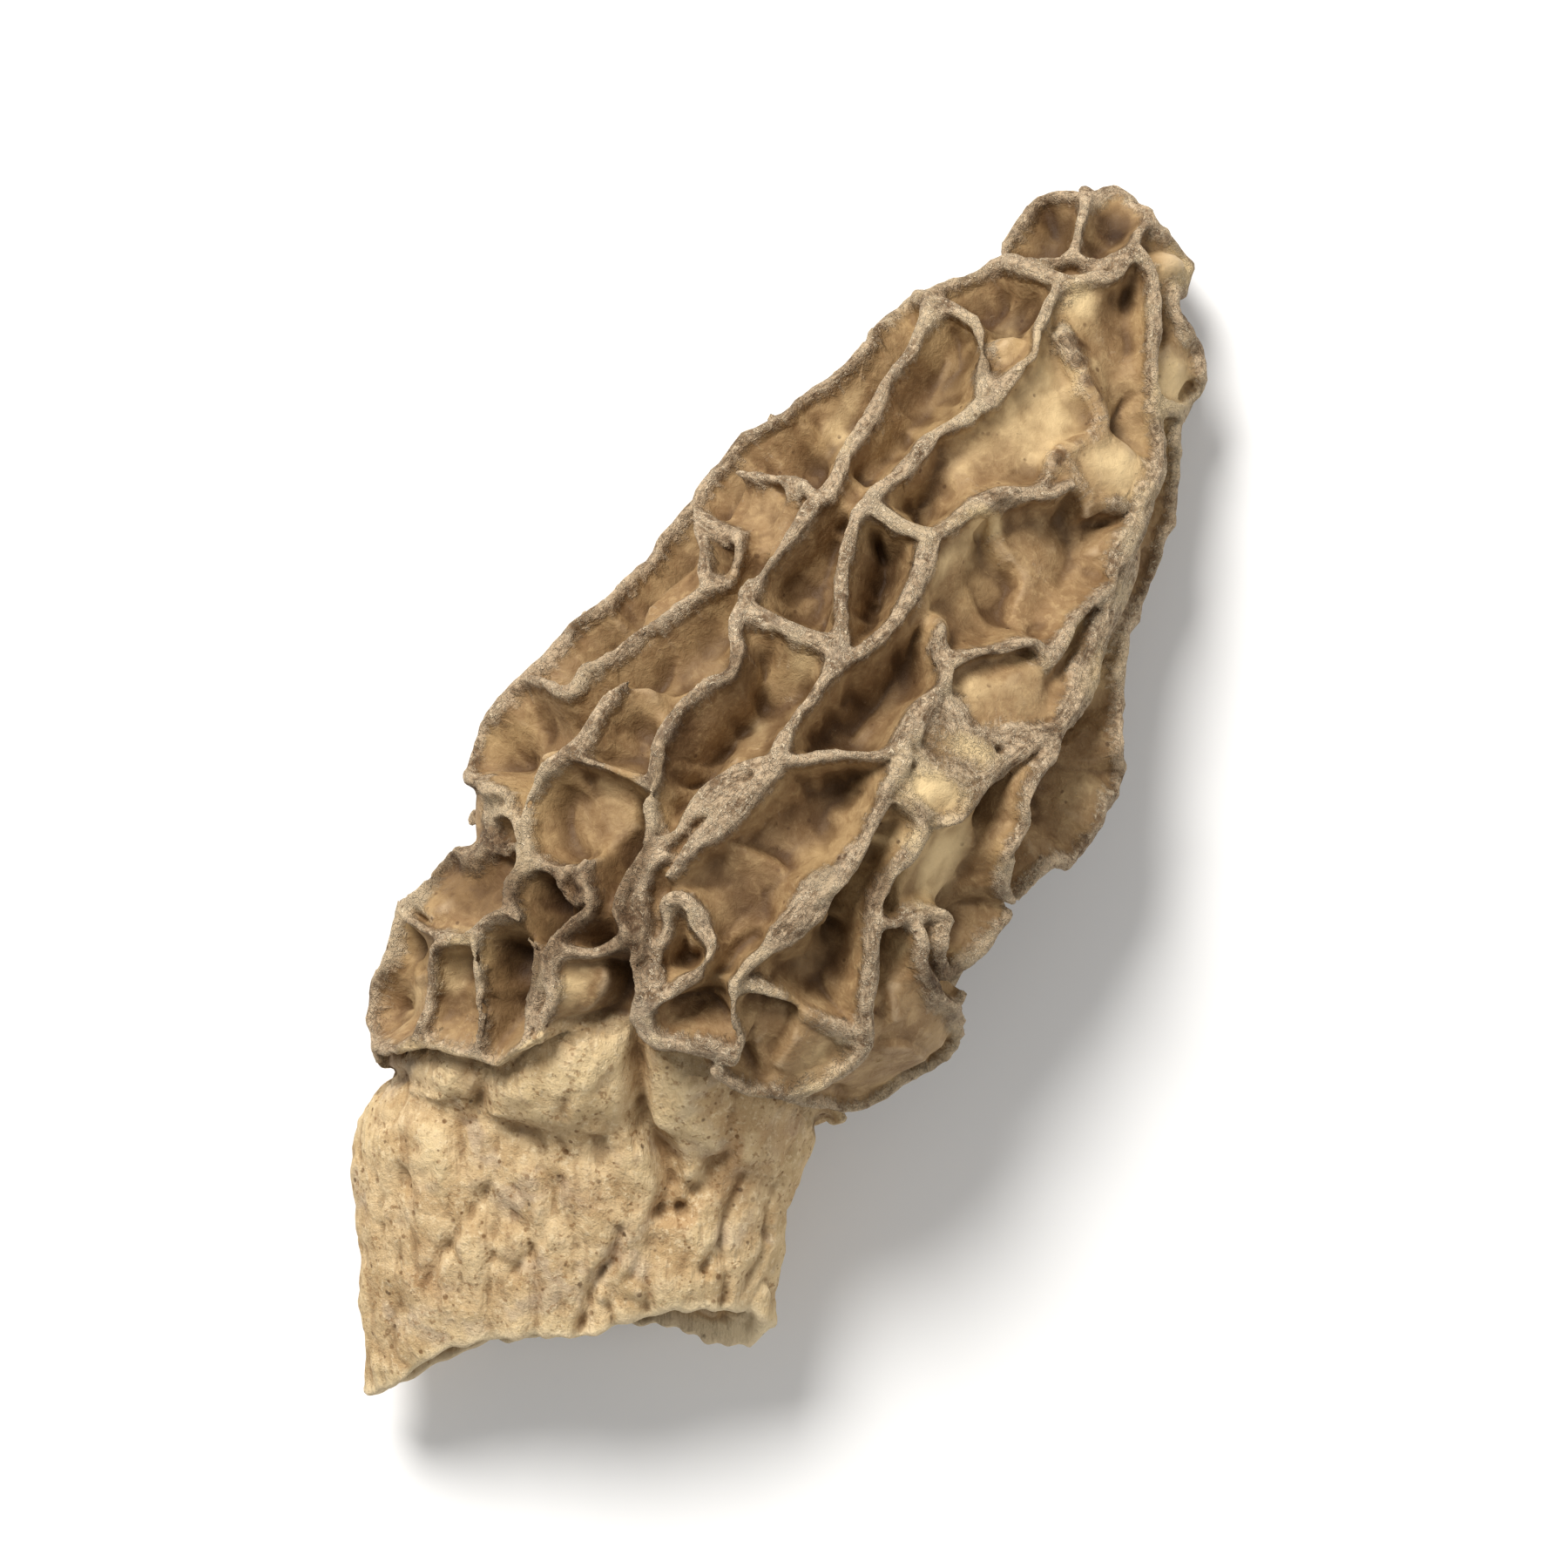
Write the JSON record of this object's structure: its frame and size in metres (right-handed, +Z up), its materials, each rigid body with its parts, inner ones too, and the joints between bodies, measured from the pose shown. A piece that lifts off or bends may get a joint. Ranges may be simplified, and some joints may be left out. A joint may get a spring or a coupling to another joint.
{
  "type": "dried morel mushroom",
  "caption": "Dried morel lying on its side: a long cone of honeycomb ridges and deep pits over a short wrinkled stem, hollow and open at the cut end.",
  "frame": {"origin": "middle of the bounding box's footprint, on the surface that the mushroom rests on", "axes": "+Y from the cut stem to the tip of the cap, +Z up, +X to the right seen from above with the tip away"},
  "size_m": [0.033, 0.0776, 0.0226],
  "materials": {
    "dried_morel_flesh": "matt felty ridges, faintly waxy pits"
  },
  "bodies": {
    "root": {"morel": "dried_morel_flesh"}
  },
  "joints": []
}
